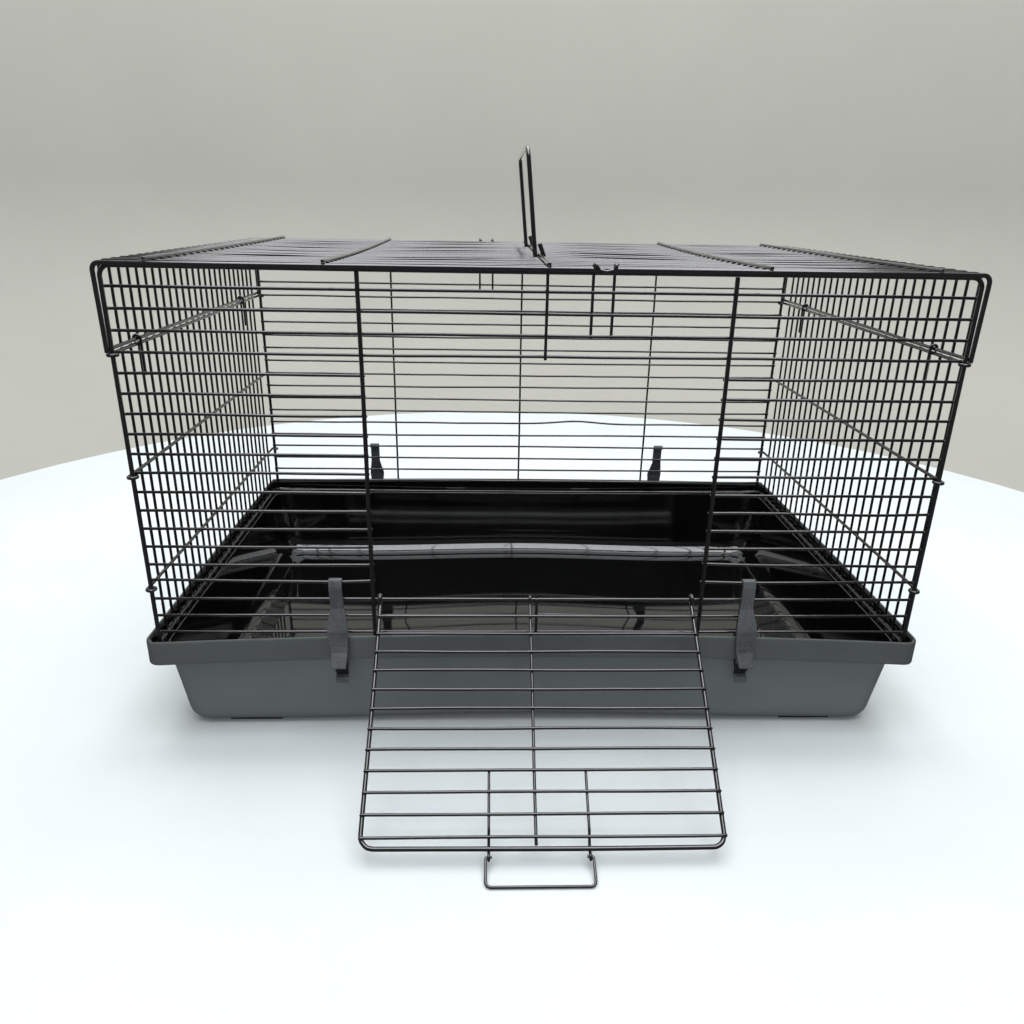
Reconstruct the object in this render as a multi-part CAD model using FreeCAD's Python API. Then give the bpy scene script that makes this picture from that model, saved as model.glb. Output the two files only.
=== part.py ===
import FreeCAD, Part
import os, math
from FreeCAD import Vector as V

# Wire rabbit cage: wire top on a deep plastic tray, drop-down front door,
# folding carry handle, four snap clips.  Millimetres, +Z up, +X to the right,
# -Y is the door side.  Origin: centre of the tray in plan, on the plane of its feet.

# ------------------------------------------------------------------ dimensions
Z0 = 92.0            # height of the lowest visible grille wire (level 0)
PITCH = 14.4         # grille pitch
R_WIRE = 1.1         # grille wire radius
R_FRAME = 1.6        # frame wire radius
R_CROSS = 1.3        # roof and side cross wire radius
R_BAR = 1.5          # central roof wire that carries the handle
R_HANDLE = 1.8       # carry handle wire radius
R_LATCH = 0.95       # door latch wire radius
RUN = 0.08           # radial running clearance of every wire eye

FRAME_X = 293.1      # frame wire, half width
FRAME_Y = 185.0      # frame wire plane, front and back
GRID_Y = FRAME_Y - R_FRAME - R_WIRE + 0.01     # grille wires, inside the frame wire
GRID_X = 294.3       # half length of full width grille wires
FRAME_TOP = 272.5    # top of front and back frame above level 0
FRAME_FOOT = -14.5   # wires stand on the tray ledge
FRAME_R = 7.0        # frame corner radius
JAMB_X = 126.5       # door jamb wires
N_TOP = 18           # highest grille level
LEVEL_SILL = 2       # door hinge wire
LEVEL_HEAD = 15      # wire above the door
LEVEL_CLIP = 3       # wire the clips hang from

ROOF_Z = 274.85      # roof grille wires above level 0
ROOF_EDGE_Y = 187.6
ROOF_EDGE_Z = 274.4
ROOF_N = 25          # roof grille wires
SIDE_X = 298.4       # side grille wires
ROOF_BEND = 4.5      # bend from roof to skirt
EDGE_X = 295.9       # legs of the roof edge wires, just outside the frame legs
SKIRT_Z = 219.0      # lower edge wire of the roof skirts
SIDE_TOP_Z = 213.0   # upper cross wire of the side panels
SIDE_MID_Z = 127.4
SIDE_LOW_Z = 38.0
SIDE_FOOT_Z = -11.5
CROSS_X = FRAME_X + R_FRAME + 0.1 + R_CROSS    # side cross wires
ROOF_CROSS_X = (-262.0, -147.5, 147.5, 262.0)

DOOR_OPEN = 126.6    # door angle from upright, as it rests on the ground
DOOR_CX = -1.0
DOOR_HALF = 120.7
DOOR_END = 179.5     # end bar, measured from the hinge wire
DOOR_R = 9.0
DOOR_BARS = 12
EYE_R = R_WIRE + RUN + R_FRAME
LATCH_CX = -4.2
LATCH_LEG = 33.4
LATCH_ARM = 36.4
LATCH_S = 184.6      # latch eye from the hinge wire
LATCH_N = -3.38
LATCH_LEN = 19.3
LATCH_DROP = 19.9    # loop angle below horizontal at rest

HANDLE_Y = 79.2
HANDLE_H = 78.0
HANDLE_R = 10.0
HANDLE_LEAN = 5.5

RIM_X, RIM_Y, RIM_R = 303.3, 194.3, 11.0
RIM_TOP, RIM_LOW = -2.0, -22.0
WALL = 2.2
LEDGE = -14.5
BASIN_TOP_X, BASIN_TOP_Y, BASIN_TOP_R = 294.2, 184.9, 18.0
BASIN_BOT_X, BASIN_BOT_Y, BASIN_BOT_R = 285.5, 175.9, 18.0
BASIN_Z = -90.5      # underside of the tray
FOOT_H = 1.5
BASIN_FILLET = 12.0
INNER_FILLET = 15.5
INNER_TOP_R, INNER_BOT_R = 19.0, 18.0   # inner corners are softer than the outer ones

CLIPS = {"front_left_clip": (-155.0, -1), "front_right_clip": (163.0, -1),
         "back_left_clip": (-174.0, 1), "back_right_clip": (166.0, 1)}

os.makedirs("parts", exist_ok=True)
written = []


def level(k):
    return Z0 + PITCH * k


def save(name, shapes):
    """Write one node: a single solid or a group of separate solids."""
    sol = []
    for s in shapes if isinstance(shapes, (list, tuple)) else [shapes]:
        sol.extend(s.Solids)
    for s in sol:
        if not s.isValid() or s.Volume <= 0:
            raise SystemExit("bad solid in " + name)
    shape = sol[0] if len(sol) == 1 else Part.makeCompound(sol)
    shape.exportStep("parts/" + name + ".step")
    written.append((name, len(sol), shape.Volume, shape.BoundBox))
    return shape


def straight(p, q, r):
    p, q = V(*p), V(*q)
    d = q - p
    return Part.makeCylinder(r, d.Length, p, d)


def sweep(edges, r):
    w = Part.Wire(edges)
    e0 = edges[0]
    p0 = e0.valueAt(e0.FirstParameter)
    t0 = e0.tangentAt(e0.FirstParameter)
    prof = Part.Wire(Part.makeCircle(r, p0, t0))
    s = w.makePipeShell([prof], True, False)
    s = Part.Solid(s) if s.ShapeType != "Solid" else s
    if s.Volume < 0:
        s.reverse()
    want = math.pi * r * r * w.Length
    if not s.isValid() or abs(s.Volume - want) > 0.03 * want:
        raise SystemExit("sweep failed %s %s %s" % (s.isValid(), s.Volume, want))
    return s


def bent_edges(pts, bend):
    """Straight runs joined by tangent arcs; bend is one radius or one per corner."""
    P = [V(*p) for p in pts]
    n = len(P)
    radii = bend if isinstance(bend, (list, tuple)) else [bend] * (n - 2)
    edges, start = [], P[0]
    for i in range(1, n - 1):
        a = (P[i] - P[i - 1]); a.normalize()
        b = (P[i + 1] - P[i]); b.normalize()
        turn = a.getAngle(b)
        t = radii[i - 1] * math.tan(turn / 2)
        s, e = P[i] - a * t, P[i] + b * t
        m = (b - a); m.normalize()
        c = P[i] + m * (radii[i - 1] / math.cos(turn / 2))
        mid = c - m * radii[i - 1]
        if (s - start).Length > 1e-6:
            edges.append(Part.LineSegment(start, s).toShape())
        edges.append(Part.Arc(s, mid, e).toShape())
        start = e
    edges.append(Part.LineSegment(start, P[-1]).toShape())
    return edges


def rod(pts, r, bend=6.0):
    return sweep(bent_edges(pts, bend), r)


def arc3(c, u, w, rad, a0, a1):
    """Arc about c in the plane of unit vectors u and w, angles in degrees."""
    def at(a):
        a = math.radians(a)
        return c + u * (rad * math.cos(a)) + w * (rad * math.sin(a))
    return Part.Arc(at(a0), at((a0 + a1) / 2), at(a1)).toShape(), at(a0), at(a1)


def turn_about(shape, centre, axis, deg):
    s = shape.copy()
    s.rotate(V(*centre), V(*axis), deg)
    return s


# ------------------------------------------------------------------ front and back panels
def panel_frame(sign):
    y = sign * FRAME_Y
    top = Z0 + FRAME_TOP
    foot = Z0 + FRAME_FOOT
    return rod([(-FRAME_X, y, foot), (-FRAME_X, y, top), (FRAME_X, y, top), (FRAME_X, y, foot)],
               R_FRAME, FRAME_R)


def bar(x0, x1, y, z, r=R_WIRE):
    return straight((x0, y, z), (x1, y, z), r)


yf, yb = -GRID_Y, GRID_Y
save("front_frame_wire", panel_frame(-1))
save("front_header_grille", [bar(-GRID_X, GRID_X, yf, level(k)) for k in range(LEVEL_HEAD, N_TOP + 1)])
save("front_left_grille", [bar(-GRID_X, -JAMB_X + 2.5, yf, level(k)) for k in range(LEVEL_SILL + 1, LEVEL_HEAD)])
save("front_right_grille", [bar(JAMB_X - 2.5, GRID_X, yf, level(k)) for k in range(LEVEL_SILL + 1, LEVEL_HEAD)])
save("front_sill_grille", [bar(-GRID_X, GRID_X, yf, z) for z in
                           (Z0 - 12.8, level(0), level(1), level(2))])
jamb_top = Z0 + FRAME_TOP - R_FRAME
save("door_jamb_wires", [straight((x, -FRAME_Y, Z0 + FRAME_FOOT), (x, -FRAME_Y, jamb_top), R_FRAME)
                         for x in (-JAMB_X, JAMB_X)])
stay_y = -(GRID_Y + R_WIRE + R_WIRE - 0.01)
save("front_centre_stays", [
    straight((-0.5, stay_y, level(LEVEL_HEAD) - 2.0), (-0.5, stay_y, jamb_top), R_WIRE),
    straight((-1.2, stay_y, Z0 + FRAME_FOOT), (-1.2, stay_y, level(LEVEL_SILL) + 1.6), R_WIRE)])

save("back_frame_wire", panel_frame(1))
save("back_grille", [bar(-GRID_X, GRID_X, yb, z) for z in
                     [Z0 - 12.8] + [level(k) for k in range(0, N_TOP + 1)]])
save("back_stay_wires", [straight((x, -stay_y, Z0 + FRAME_FOOT), (x, -stay_y, jamb_top), R_WIRE)
                         for x in (-147.5, -2.0, 147.5)])

# ------------------------------------------------------------------ roof with skirts
roof_ys = [-(ROOF_N - 1) / 2 * PITCH + PITCH * k for k in range(ROOF_N)]
zr = Z0 + ROOF_Z
flat_x = SIDE_X - ROOF_BEND
save("roof_grille", [straight((-flat_x, y, zr), (flat_x, y, zr), R_WIRE) for y in roof_ys])


def skirt(sign):
    out = []
    for y in roof_ys:
        c = V(sign * flat_x, y, zr - ROOF_BEND)
        e, a, b = arc3(c, V(0, 0, 1), V(sign, 0, 0), ROOF_BEND, 0, 90)
        low = V(b.x, b.y, Z0 + SKIRT_Z - 2.0)
        out.append(sweep([e, Part.LineSegment(b, low).toShape()], R_WIRE))
    return out


save("left_skirt_grille", skirt(-1))
save("right_skirt_grille", skirt(1))
skirt_x = SIDE_X - R_WIRE - R_CROSS + 0.01
skirt_end = ROOF_EDGE_Y - R_FRAME + 0.3
for name, sign in (("left", -1), ("right", 1)):
    save(name + "_skirt_wire", straight((sign * skirt_x, -skirt_end, Z0 + SKIRT_Z), (sign * skirt_x, skirt_end, Z0 + SKIRT_Z), R_CROSS))


def roof_edge(sign):
    y = sign * ROOF_EDGE_Y
    top, low = Z0 + ROOF_EDGE_Z, Z0 + SKIRT_Z - 2.0
    return rod([(-EDGE_X, y, low), (-EDGE_X, y, top), (EDGE_X, y, top), (EDGE_X, y, low)], R_FRAME, ROOF_BEND)


save("roof_front_edge_wire", roof_edge(-1))
save("roof_back_edge_wire", roof_edge(1))
zc = zr + R_WIRE + R_CROSS - 0.01
save("roof_cross_wires", [straight((x, -ROOF_EDGE_Y - 1.5, zc), (x, ROOF_EDGE_Y + 1.5, zc), R_CROSS)
                          for x in ROOF_CROSS_X])
zbar = zr + R_WIRE + R_BAR - 0.01
save("handle_pivot_wire", straight((0, -ROOF_EDGE_Y - 1.5, zbar), (0, ROOF_EDGE_Y + 1.5, zbar), R_BAR))


def roof_latch(x0, x1, sign, low):
    """Hairpin: two legs on the inner face of the panel, the bight folded out over the roof edge."""
    y_in = sign * (GRID_Y - 2 * R_WIRE + 0.01)
    top = Z0 + ROOF_EDGE_Z + R_FRAME + R_WIRE + 1.2
    y_out = sign * (ROOF_EDGE_Y + 3.2)
    pts = [(x0, y_in, low), (x0, y_in, top), (x0, y_out, top), (x1, y_out, top), (x1, y_in, top), (x1, y_in, low)]
    return rod(pts, R_WIRE, [2.6, 3.4, 3.4, 2.6])


save("front_roof_latch", roof_latch(30.5, 44.6, -1, level(16) - 2.0))
save("back_roof_latch", roof_latch(-35.0, -49.1, 1, level(16) - 6.0))

# ------------------------------------------------------------------ side panels
foot = Z0 + FRAME_FOOT
side_top = Z0 + SIDE_TOP_Z + 1.6


def side_grille(sign):
    return [straight((sign * SIDE_X, y, foot), (sign * SIDE_X, y, side_top), R_WIRE) for y in roof_ys]


def cross_wire(sign, z, eyes=True):
    """Wire along the side panel, its ends curled around the frame wires of front and back panel."""
    x = sign * CROSS_X
    rad = CROSS_X - FRAME_X
    if not eyes:
        return straight((x, -FRAME_Y + 3.5, z), (x, FRAME_Y - 3.5, z), R_CROSS)
    X = V(sign, 0, 0)
    e1, a, b = arc3(V(sign * FRAME_X, FRAME_Y, z), X, V(0, 1, 0), rad, 0, 150)
    e2, c, d = arc3(V(sign * FRAME_X, FRAME_Y, z), X, V(0, 1, 0), rad, 150, 285)
    f1, g, h = arc3(V(sign * FRAME_X, -FRAME_Y, z), X, V(0, -1, 0), rad, 0, 150)
    f2, i, j = arc3(V(sign * FRAME_X, -FRAME_Y, z), X, V(0, -1, 0), rad, 150, 285)
    one = sweep([Part.LineSegment(V(x, 0, z), V(x, FRAME_Y, z)).toShape(), e1, e2], R_CROSS)
    two = sweep([Part.LineSegment(V(x, 0, z), V(x, -FRAME_Y, z)).toShape(), f1, f2], R_CROSS)
    s = one.fuse(two).removeSplitter()
    if len(s.Solids) != 1:
        raise SystemExit("cross wire did not join")
    return s.Solids[0]


for name, sign in (("left", -1), ("right", 1)):
    save(name + "_side_grille", side_grille(sign))
    save(name + "_side_cross_wires", [cross_wire(sign, Z0 + z) for z in (SIDE_TOP_Z, SIDE_MID_Z, SIDE_LOW_Z)]
         + [cross_wire(sign, Z0 + SIDE_FOOT_Z, False)])


def side_hook(sign, y):
    """Hook on the side panel, bent over the skirt wire so that the panel can swing."""
    c = V(sign * skirt_x, y, Z0 + SKIRT_Z)
    rad = R_CROSS + RUN + R_WIRE
    a1, p, q = arc3(c, V(-sign, 0, 0), V(0, 0, 1), rad, 0, 120)
    a2, q2, t = arc3(c, V(-sign, 0, 0), V(0, 0, 1), rad, 120, 240)
    low = V(p.x, y, Z0 + SIDE_TOP_Z - 22.0)
    return sweep([Part.LineSegment(low, p).toShape(), a1, a2], R_WIRE)


HOOK_Y = (-137.0, 122.0)
for name, sign in (("left", -1), ("right", 1)):
    save(name + "_side_hooks", [side_hook(sign, y) for y in HOOK_Y])


# ------------------------------------------------------------------ tray
def ring_wire(hx, hy, r, z):
    k = math.sqrt(0.5)
    pts = []
    e = []
    e.append(Part.LineSegment(V(-hx + r, -hy, z), V(hx - r, -hy, z)).toShape())
    e.append(Part.Arc(V(hx - r, -hy, z), V(hx - r + r * k, -hy + r - r * k, z), V(hx, -hy + r, z)).toShape())
    e.append(Part.LineSegment(V(hx, -hy + r, z), V(hx, hy - r, z)).toShape())
    e.append(Part.Arc(V(hx, hy - r, z), V(hx - r + r * k, hy - r + r * k, z), V(hx - r, hy, z)).toShape())
    e.append(Part.LineSegment(V(hx - r, hy, z), V(-hx + r, hy, z)).toShape())
    e.append(Part.Arc(V(-hx + r, hy, z), V(-hx + r - r * k, hy - r + r * k, z), V(-hx, hy - r, z)).toShape())
    e.append(Part.LineSegment(V(-hx, hy - r, z), V(-hx, -hy + r, z)).toShape())
    e.append(Part.Arc(V(-hx, -hy + r, z), V(-hx + r - r * k, -hy + r - r * k, z), V(-hx + r, -hy, z)).toShape())
    return Part.Wire(e)


def slab(hx, hy, r, z0, z1):
    f = Part.Face(ring_wire(hx, hy, r, z0))
    return f.extrude(V(0, 0, z1 - z0))


def tub(hx1, hy1, r1, z1, hx0, hy0, r0, z0, fil):
    """Tapered rounded block from z0 (bottom) to z1 (top) with its bottom edge rounded."""
    s = Part.makeLoft([ring_wire(hx0, hy0, r0, z0), ring_wire(hx1, hy1, r1, z1)], True, True)
    s = Part.Solid(s) if s.ShapeType != "Solid" else s
    low = [e for e in s.Edges if abs(e.BoundBox.ZMax - z0) < 1e-3 and abs(e.BoundBox.ZMin - z0) < 1e-3]
    f = s.makeFillet(fil, low)
    if not f.isValid():
        raise SystemExit("tray fillet")
    return f


def at(v):
    return Z0 + v


outer = tub(BASIN_TOP_X, BASIN_TOP_Y, BASIN_TOP_R, at(LEDGE), BASIN_BOT_X, BASIN_BOT_Y, BASIN_BOT_R, at(BASIN_Z), BASIN_FILLET)
collar = slab(RIM_X, RIM_Y, RIM_R, at(RIM_LOW), at(RIM_TOP))
under = slab(RIM_X - WALL, RIM_Y - WALL, RIM_R - WALL, at(RIM_LOW), at(LEDGE - WALL))
over = slab(RIM_X - WALL, RIM_Y - WALL, RIM_R - WALL, at(LEDGE), at(RIM_TOP))
body = collar.cut(under).cut(over).fuse(outer)
inner = tub(BASIN_TOP_X - WALL + 0.3, BASIN_TOP_Y - WALL + 0.3, INNER_TOP_R, at(LEDGE) + 1.0,
            BASIN_BOT_X - WALL, BASIN_BOT_Y - WALL, INNER_BOT_R, at(BASIN_Z) + WALL, INNER_FILLET)
tray = body.cut(inner)
tabs = []
for sy in (-1, 1):
    for x in (-78.5, 74.5):
        b = Part.makeBox(23.0, 3.6, 4.6, V(x - 11.5, (RIM_Y - WALL - 3.4) if sy > 0 else -(RIM_Y - WALL + 0.2), at(LEDGE)))
        tabs.append(b)
tray = tray.fuse(tabs).removeSplitter()
if len(tray.Solids) != 1:
    raise SystemExit("tray is %d solids" % len(tray.Solids))
save("tray", tray)

feet = []
for sx in (-1, 1):
    for sy in (-1, 1):
        b = Part.makeBox(43.0, 10.0, FOOT_H + 1.1, V(sx * 232.0 - 21.5, sy * 162.5 - 5.0, 0.0))
        b = b.makeFillet(3.0, [e for e in b.Edges if abs(e.BoundBox.ZLength - FOOT_H - 1.1) < 1e-6])
        feet.append(b.cut(outer))
save("tray_feet", feet)

# ------------------------------------------------------------------ door (built upright, then swung open)
HY, HZ = yf, level(LEVEL_SILL)


def door_pt(x, s, n):
    return V(x, HY + n, HZ + s)


def eye_edges(x, s0):
    """From the shank at distance s0 down to the hinge wire and around it."""
    c = door_pt(x, 0, 0)
    u, w = V(0, -1, 0), V(0, 0, -1)
    e1, a, b = arc3(c, u, w, EYE_R, 0, 150)
    e2, b2, d = arc3(c, u, w, EYE_R, 150, 300)
    return a, [e1, e2]


def rev(edges):
    out = []
    for e in reversed(edges):
        if e.Curve.TypeId == "Part::GeomLine":
            out.append(Part.LineSegment(e.valueAt(e.LastParameter), e.valueAt(e.FirstParameter)).toShape())
        else:
            m = (e.FirstParameter + e.LastParameter) / 2
            out.append(Part.Arc(e.valueAt(e.LastParameter), e.valueAt(m), e.valueAt(e.FirstParameter)).toShape())
    return out


xl, xr = DOOR_CX - DOOR_HALF, DOOR_CX + DOOR_HALF
aL, eL = eye_edges(xl, 0)
aR, eR = eye_edges(xr, 0)
u_edges = bent_edges([tuple(aL), tuple(door_pt(xl, DOOR_END, -EYE_R)), tuple(door_pt(xr, DOOR_END, -EYE_R)), tuple(aR)], DOOR_R)
door_frame = sweep(rev(eL) + u_edges + eR, R_FRAME)
n_bar = -EYE_R + R_FRAME + R_WIRE - 0.01
bars = [straight(tuple(door_pt(xl - 1.0, PITCH * (k + 1), n_bar)), tuple(door_pt(xr + 1.0, PITCH * (k + 1), n_bar)), R_WIRE)
        for k in range(DOOR_BARS)]
# centre wire: own eye, runs on the outer face of the bars up to the end bar
xc = DOOR_CX - 5.3
ec = R_WIRE + RUN + R_WIRE
cc = door_pt(xc, 0, 0)
c1, ca, cb = arc3(cc, V(0, -1, 0), V(0, 0, -1), ec, 0, 150)
c2, cb2, cd = arc3(cc, V(0, -1, 0), V(0, 0, -1), ec, 150, 300)
centre = sweep(rev([c1, c2]) + [Part.LineSegment(ca, door_pt(xc, DOOR_END - R_FRAME, -ec)).toShape()], R_WIRE)


# latch legs: on the outer face of the bars, passing outside the end bar, each ending in an eye
def latch_leg(x):
    n0 = n_bar - R_WIRE - R_LATCH + 0.01
    n1 = -EYE_R - R_FRAME - R_LATCH + 0.01
    rad = R_LATCH + 0.05 + R_LATCH
    c = door_pt(x, LATCH_S, n1 + rad)
    first = bent_edges([tuple(door_pt(x, PITCH * 9 - 3.0, n0)), tuple(door_pt(x, PITCH * 12 - 3.5, n0)),
                        tuple(door_pt(x, DOOR_END - 3.2, n1)), tuple(door_pt(x, LATCH_S, n1))], [6.0, 4.5])
    a1, p, q = arc3(c, V(0, -1, 0), V(0, 0, 1), rad, 0, 150)
    a2, q2, t = arc3(c, V(0, -1, 0), V(0, 0, 1), rad, 150, 300)
    return sweep(first + [a1, a2], R_LATCH), c


leg_l, eye_l = latch_leg(LATCH_CX - LATCH_LEG)
leg_r, eye_r = latch_leg(LATCH_CX + LATCH_LEG)
hinge = (0, HY, HZ)
swing = lambda s: turn_about(s, hinge, (1, 0, 0), DOOR_OPEN)
save("door_frame_wire", swing(door_frame))
save("door_grille", [swing(b) for b in bars])
save("door_centre_wire", swing(centre))
save("door_latch_legs", [swing(leg_l), swing(leg_r)])

# latch loop: its two ends turn inward as pins through the eyes of the legs
th = math.radians(DOOR_OPEN)
ey, ez = eye_l.y - HY, eye_l.z - HZ
EYE_Y = HY + ey * math.cos(th) - ez * math.sin(th)
EYE_Z = HZ + ey * math.sin(th) + ez * math.cos(th)
dr = math.radians(LATCH_DROP)
by, bz = EYE_Y - LATCH_LEN * math.cos(dr), EYE_Z - LATCH_LEN * math.sin(dr)
x0, x1 = LATCH_CX - LATCH_ARM, LATCH_CX + LATCH_ARM
loop_pts = [(LATCH_CX - LATCH_LEG + 2.2, EYE_Y, EYE_Z), (x0, EYE_Y, EYE_Z), (x0, by, bz), (x1, by, bz), (x1, EYE_Y, EYE_Z),
            (LATCH_CX + LATCH_LEG - 2.2, EYE_Y, EYE_Z)]
save("door_latch_loop", rod(loop_pts, R_LATCH, [1.3, 3.6, 3.6, 1.3]))

# ------------------------------------------------------------------ carry handle (built upright, then leaned)
rh = R_BAR + RUN + R_HANDLE


def handle_eye(y):
    c = V(0, y, zbar)
    a1, p, q = arc3(c, V(-1, 0, 0), V(0, 0, -1), rh, 0, 150)
    a2, q2, t = arc3(c, V(-1, 0, 0), V(0, 0, -1), rh, 150, 300)
    return p, [a1, a2]


pN, eN = handle_eye(-HANDLE_Y)
pF, eF = handle_eye(HANDLE_Y)
h_edges = bent_edges([tuple(pN), (-rh, -HANDLE_Y, zbar + HANDLE_H), (-rh, HANDLE_Y, zbar + HANDLE_H), tuple(pF)], HANDLE_R)
handle = sweep(rev(eN) + h_edges + eF, R_HANDLE)
save("carry_handle", turn_about(handle, (0, 0, zbar), (0, 1, 0), -HANDLE_LEAN))


# ------------------------------------------------------------------ clips
def clip(xc, sign):
    """Snap clip: hook over a grille wire, strap outside the rim, finger tab, hook nose under the rim."""
    cy, cz = GRID_Y, level(LEVEL_CLIP)          # built for the +Y side, mirrored for the front
    t = 2.0
    ri, ro = R_WIRE + RUN, 3.1
    z = lambda v: Z0 + v
    y_in = 184.6
    # strap profile in (y, z), outer side first
    prof = [(y_in, cz - 0.2), (y_in, z(22.0)), (194.9, z(6.0)), (194.9, z(-22.9)), (189.6, z(-22.9)),
            (189.3, z(-25.4)), (193.2, z(-30.0)), (193.2, z(-38.0)), (196.6, z(-38.0)), (196.9, z(-13.0)),
            (203.0, z(-22.0)), (204.0, z(-20.6)), (197.1, z(-10.0)), (197.1, z(6.6)), (186.9, z(22.9)), (186.9, cz - 0.2)]
    w = Part.makePolygon([V(-12, y, zz) for y, zz in prof] + [V(-12, prof[0][0], prof[0][1])])
    strap = Part.Face(w).extrude(V(24, 0, 0))
    # hook: three quarters of a ring around the wire, joined to the strap
    ring = Part.makeCylinder(ro, 24, V(-12, cy, cz), V(1, 0, 0)).cut(Part.makeCylinder(ri, 24, V(-12, cy, cz), V(1, 0, 0)))
    mouth = Part.makePolygon([V(-12, cy, cz), V(-12, cy - 6.0, cz - 1.2), V(-12, cy - 6, cz - 6), V(-12, cy + 1.2, cz - 6), V(-12, cy, cz)])
    ring = ring.cut(Part.Face(mouth).extrude(V(24, 0, 0)))
    web = Part.makeBox(24, 186.9 - (cy + ri + 0.35), 2.6, V(-12, cy + ri + 0.35, cz - 2.4))
    web = web.cut(Part.makeCylinder(ri, 24, V(-12, cy, cz), V(1, 0, 0)))
    head = Part.makeBox(24, 186.9 - (cy + 1.6), 2.6, V(-12, cy + 1.6, cz + 0.1)).cut(Part.makeCylinder(ri, 24, V(-12, cy, cz), V(1, 0, 0)))
    side = strap.fuse([ring, web, head]).removeSplitter()
    out = [(-5.0, cz + 8), (-5.0, z(24)), (-8.2, z(6.5)), (-6.7, z(-10.5)), (-5.2, z(-22.5)), (-4.7, z(-24)), (-4.7, z(-45)),
           (4.7, z(-45)), (4.7, z(-24)), (5.2, z(-22.5)), (6.7, z(-10.5)), (8.2, z(6.5)), (5.0, z(24)), (5.0, cz + 8)]
    face = Part.Face(Part.makePolygon([V(x, 170, zz) for x, zz in out] + [V(out[0][0], 170, out[0][1])]))
    s = side.common(face.extrude(V(0, 45, 0))).removeSplitter()
    if len(s.Solids) != 1:
        raise SystemExit("clip is %d solids" % len(s.Solids))
    s = s.Solids[0]
    if sign < 0:
        s = s.mirror(V(0, 0, 0), V(0, 1, 0))
    s.translate(V(xc, 0, 0))
    return s


for name, (cx, sg) in CLIPS.items():
    save(name, clip(cx, sg))

# ------------------------------------------------------------------ summary
lo = [min(b.XMin for *_, b in written), min(b.YMin for *_, b in written), min(b.ZMin for *_, b in written)]
hi = [max(b.XMax for *_, b in written), max(b.YMax for *_, b in written), max(b.ZMax for *_, b in written)]
for name, n, vol, b in written:
    print("%-24s solids %3d  volume %10.1f" % (name, n, vol))
print("nodes", len(written), "box", [round(v, 2) for v in lo], [round(v, 2) for v in hi])
print("door hinge", HY, HZ, "latch eye", round(EYE_Y, 3), round(EYE_Z, 3), "handle axis z", round(zbar, 3),
      "clip wire", GRID_Y, level(LEVEL_CLIP))
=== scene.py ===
"""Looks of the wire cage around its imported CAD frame.  Everything is worked out in
millimetres in the part frame and written to meshes in metres."""
import math

import bmesh
import bpy
import numpy as np
from mathutils import Matrix, Vector


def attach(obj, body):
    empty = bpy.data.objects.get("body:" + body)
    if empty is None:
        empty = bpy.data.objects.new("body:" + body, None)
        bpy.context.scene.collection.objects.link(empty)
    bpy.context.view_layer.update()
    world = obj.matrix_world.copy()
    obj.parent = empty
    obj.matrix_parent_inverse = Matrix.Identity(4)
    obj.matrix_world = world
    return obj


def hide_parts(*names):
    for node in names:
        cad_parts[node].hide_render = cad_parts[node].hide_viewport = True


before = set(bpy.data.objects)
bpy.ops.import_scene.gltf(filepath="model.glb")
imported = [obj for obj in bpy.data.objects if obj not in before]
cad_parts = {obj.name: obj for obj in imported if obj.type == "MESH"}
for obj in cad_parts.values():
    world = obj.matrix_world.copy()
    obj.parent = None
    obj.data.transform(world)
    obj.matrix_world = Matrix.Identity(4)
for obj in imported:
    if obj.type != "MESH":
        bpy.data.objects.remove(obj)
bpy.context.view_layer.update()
MM = 0.001
rng = np.random.default_rng(2207)

# ------------------------------------------------------------------ dimensions shared with the CAD
Z0, PITCH = 92.0, 14.4
R_WIRE, R_FRAME, R_CROSS, R_BAR, R_HANDLE, R_LATCH = 1.1, 1.6, 1.3, 1.5, 1.8, 0.95
RUN = 0.08
FRAME_X, FRAME_Y = 293.1, 185.0
GRID_Y = FRAME_Y - R_FRAME - R_WIRE + 0.01
GRID_X = 294.3
FOOT, FRAME_TOP = Z0 - 14.5, Z0 + 272.5
JAMB_X = 126.5
ROOF_Z = Z0 + 274.85
EDGE_Y, EDGE_Z = 187.6, Z0 + 274.4
SIDE_X = 298.4
SKIRT_Z = Z0 + 217.9
TOP_RAIL = Z0 + 214.4
CROSS_X = FRAME_X + R_FRAME + 0.1 + R_CROSS
SKIRT_X = SIDE_X - R_WIRE - R_CROSS + 0.01
EDGE_X = 295.9
SKIRT_END = EDGE_Y - R_FRAME + 0.3
ROOF_YS = [-172.8 + PITCH * k for k in range(25)]
PIVOT_Z = ROOF_Z + R_WIRE + R_BAR - 0.01
HINGE_Y, HINGE_Z = -GRID_Y, Z0 + 2 * PITCH
DOOR_OPEN = math.radians(126.6)


def level(k):
    return Z0 + PITCH * k


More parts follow.
